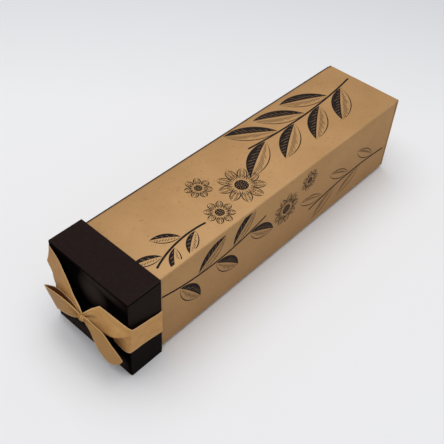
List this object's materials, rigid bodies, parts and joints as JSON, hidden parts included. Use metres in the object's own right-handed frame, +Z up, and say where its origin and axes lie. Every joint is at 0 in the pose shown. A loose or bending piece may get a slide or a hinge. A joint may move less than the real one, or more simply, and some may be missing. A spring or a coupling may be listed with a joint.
{
  "type": "bottle box",
  "caption": "Long square kraft carton for one bottle, lying on its side, closed by a slip lid with a tied satin ribbon; the lid slides off the end.",
  "frame": {"origin": "middle of the lid's underside, on the surface the box lies on", "axes": "+Y along the box from the lid to the base, +X to the right of someone who faces the bow, +Z up"},
  "size_m": [0.0927, 0.3599, 0.086],
  "materials": {
    "kraft_board": "matte",
    "black_card": "matte",
    "satin_ribbon": "satin",
    "black_ink": "matte"
  },
  "bodies": {
    "body": {"carton": "kraft_board", "print_top": "black_ink", "print_right": "black_ink"},
    "slip_lid": {"lid": "black_card", "ribbon": "satin_ribbon"}
  },
  "joints": [
    {"name": "lid_slide", "type": "slide", "parent": "body", "child": "slip_lid", "axis": [0, -1, 0], "range_m": [0, 0.08]}
  ]
}
